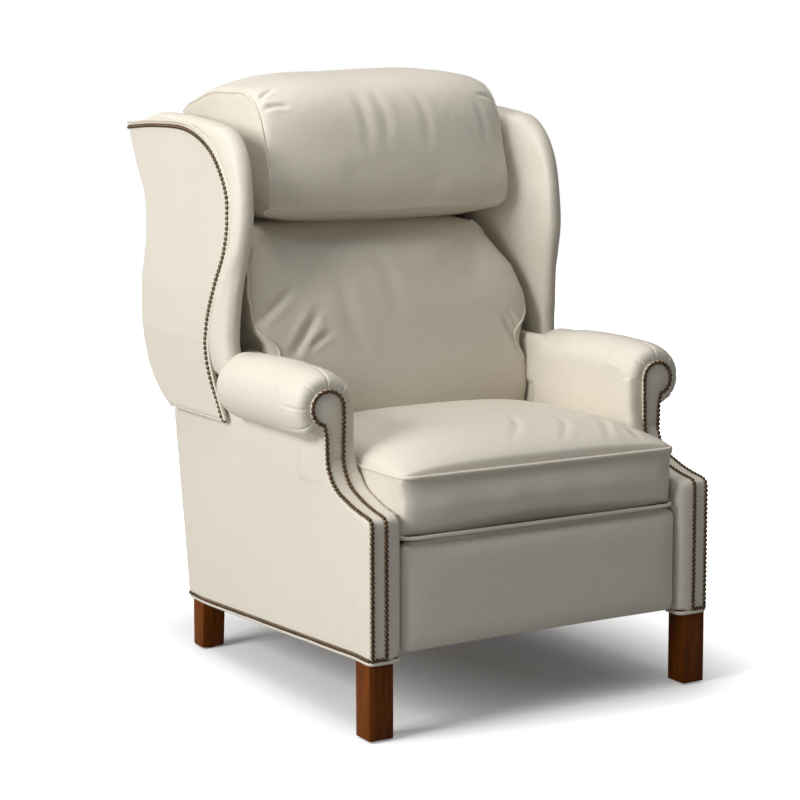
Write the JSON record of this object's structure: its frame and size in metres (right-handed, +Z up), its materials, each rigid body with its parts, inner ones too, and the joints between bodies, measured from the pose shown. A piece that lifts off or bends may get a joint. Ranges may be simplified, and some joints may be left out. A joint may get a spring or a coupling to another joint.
{
  "type": "wingback recliner",
  "caption": "High-leg wingback armchair in ivory leather with rolled arms and nailhead trim; pushing it back swings the seat forward, reclines the back and lifts a footrest.",
  "frame": {"origin": "on the floor, midway between the sides and between the foremost and rearmost points", "axes": "+Z up, -Y the way the chair faces, +X to the right as seen from the front"},
  "size_m": [0.814, 0.94, 1.104],
  "materials": {
    "leather": "semi-gloss ivory",
    "leg_wood": "satin mahogany stain",
    "frame_wood": "bare hardwood",
    "steel": "zinc plated",
    "glide": "matt",
    "deck_cloth": "woven"
  },
  "bodies": {
    "base": {"foot_glides": "glide", "arm_facings": "leather", "side_rails": "frame_wood", "arm_rails": "frame_wood", "front_cross_rail": "frame_wood", "rear_cross_rail": "frame_wood", "base_rivets": "steel", "leg_front_left": "leg_wood", "leg_front_right": "leg_wood", "leg_rear_left": "leg_wood", "leg_rear_right": "leg_wood", "side_panel_left": "leather", "side_panel_right": "leather", "arm_post_left": "leather", "arm_post_right": "leather", "arm_roll_left": "leather", "arm_roll_right": "leather", "inside_arm_left": "leather", "inside_arm_right": "leather", "rear_wall_left": "leather", "rear_wall_right": "leather", "mechanism_plate_left": "steel", "mechanism_plate_right": "steel"},
    "swing_link_front_left": {"swing_link_front_left": "steel"},
    "swing_link_front_right": {"swing_link_front_right": "steel"},
    "swing_link_rear_left": {"swing_link_rear_left": "steel"},
    "swing_link_rear_right": {"swing_link_rear_right": "steel"},
    "seat": {"seat_rivets": "steel", "seat_spacers": "steel", "seat_side_rails": "frame_wood", "seat_cross_rails": "frame_wood", "seat_springs": "steel", "seat_deck": "deck_cloth", "seat_cushion": "leather", "seat_plate_left": "steel", "seat_plate_right": "steel"},
    "back": {"back_brackets": "steel", "back_pins": "steel", "back_rails": "frame_wood", "wing_blocks": "frame_wood", "outside_back": "leather", "inside_back": "leather", "lumbar_cushion": "leather", "head_pillow": "leather", "back_post_left": "frame_wood", "back_post_right": "frame_wood", "wing_panel_left": "leather", "wing_panel_right": "leather", "wing_pad_left": "leather", "wing_pad_right": "leather"},
    "footrest_drive": {"torque_tube": "steel", "lower_link_left": "steel", "lower_link_right": "steel", "elbow_rivets": "steel"},
    "upper_link_left": {"upper_link_left": "steel"},
    "upper_link_right": {"upper_link_right": "steel"},
    "footrest": {"footrest_board": "frame_wood", "footrest_pad": "leather", "board_brackets": "steel", "board_rivets": "steel"}
  },
  "joints": [
    {"name": "swing_front_left", "type": "hinge", "parent": "base", "child": "swing_link_front_left", "pos_m": [-0.28, -0.2, 0.3], "axis": [-1, 0, 0], "range_deg": [0, 18]},
    {"name": "seat_level", "type": "hinge", "parent": "swing_link_front_left", "child": "seat", "pos_m": [-0.28, -0.2, 0.22], "axis": [-1, 0, 0], "range_deg": [-18, 0]},
    {"name": "swing_front_right", "type": "hinge", "parent": "base", "child": "swing_link_front_right", "pos_m": [0.28, -0.2, 0.3], "axis": [-1, 0, 0], "range_deg": [0, 18]},
    {"name": "swing_rear_left", "type": "hinge", "parent": "base", "child": "swing_link_rear_left", "pos_m": [-0.28, 0.06, 0.3], "axis": [-1, 0, 0], "range_deg": [0, 18]},
    {"name": "swing_rear_right", "type": "hinge", "parent": "base", "child": "swing_link_rear_right", "pos_m": [0.28, 0.06, 0.3], "axis": [-1, 0, 0], "range_deg": [0, 18]},
    {"name": "back_recline", "type": "hinge", "parent": "seat", "child": "back", "pos_m": [0, 0.15, 0.29], "axis": [-1, 0, 0], "range_deg": [0, 25]},
    {"name": "footrest_extend", "type": "hinge", "parent": "seat", "child": "footrest_drive", "pos_m": [0, -0.3, 0.3], "axis": [-1, 0, 0], "range_deg": [0, 95]},
    {"name": "upper_link_left_turn", "type": "hinge", "parent": "footrest_drive", "child": "upper_link_left", "pos_m": [-0.268, -0.26, 0.15], "axis": [-1, 0, 0], "range_deg": [-116, 0]},
    {"name": "upper_link_right_turn", "type": "hinge", "parent": "footrest_drive", "child": "upper_link_right", "pos_m": [0.268, -0.26, 0.15], "axis": [-1, 0, 0], "range_deg": [-116, 0]},
    {"name": "footrest_tilt", "type": "hinge", "parent": "upper_link_left", "child": "footrest", "pos_m": [-0.268, -0.415, 0.285], "axis": [-1, 0, 0], "range_deg": [0, 111]}
  ],
  "couplings": [
    {"joint": "swing_front_left", "follows": "back_recline", "ratio": 0.72},
    {"joint": "swing_front_right", "follows": "back_recline", "ratio": 0.72},
    {"joint": "swing_rear_left", "follows": "back_recline", "ratio": 0.72},
    {"joint": "swing_rear_right", "follows": "back_recline", "ratio": 0.72},
    {"joint": "seat_level", "follows": "back_recline", "ratio": -0.72},
    {"joint": "upper_link_left_turn", "follows": "footrest_extend", "ratio": -1.221},
    {"joint": "upper_link_right_turn", "follows": "footrest_extend", "ratio": -1.221},
    {"joint": "footrest_tilt", "follows": "footrest_extend", "ratio": 1.1684}
  ]
}
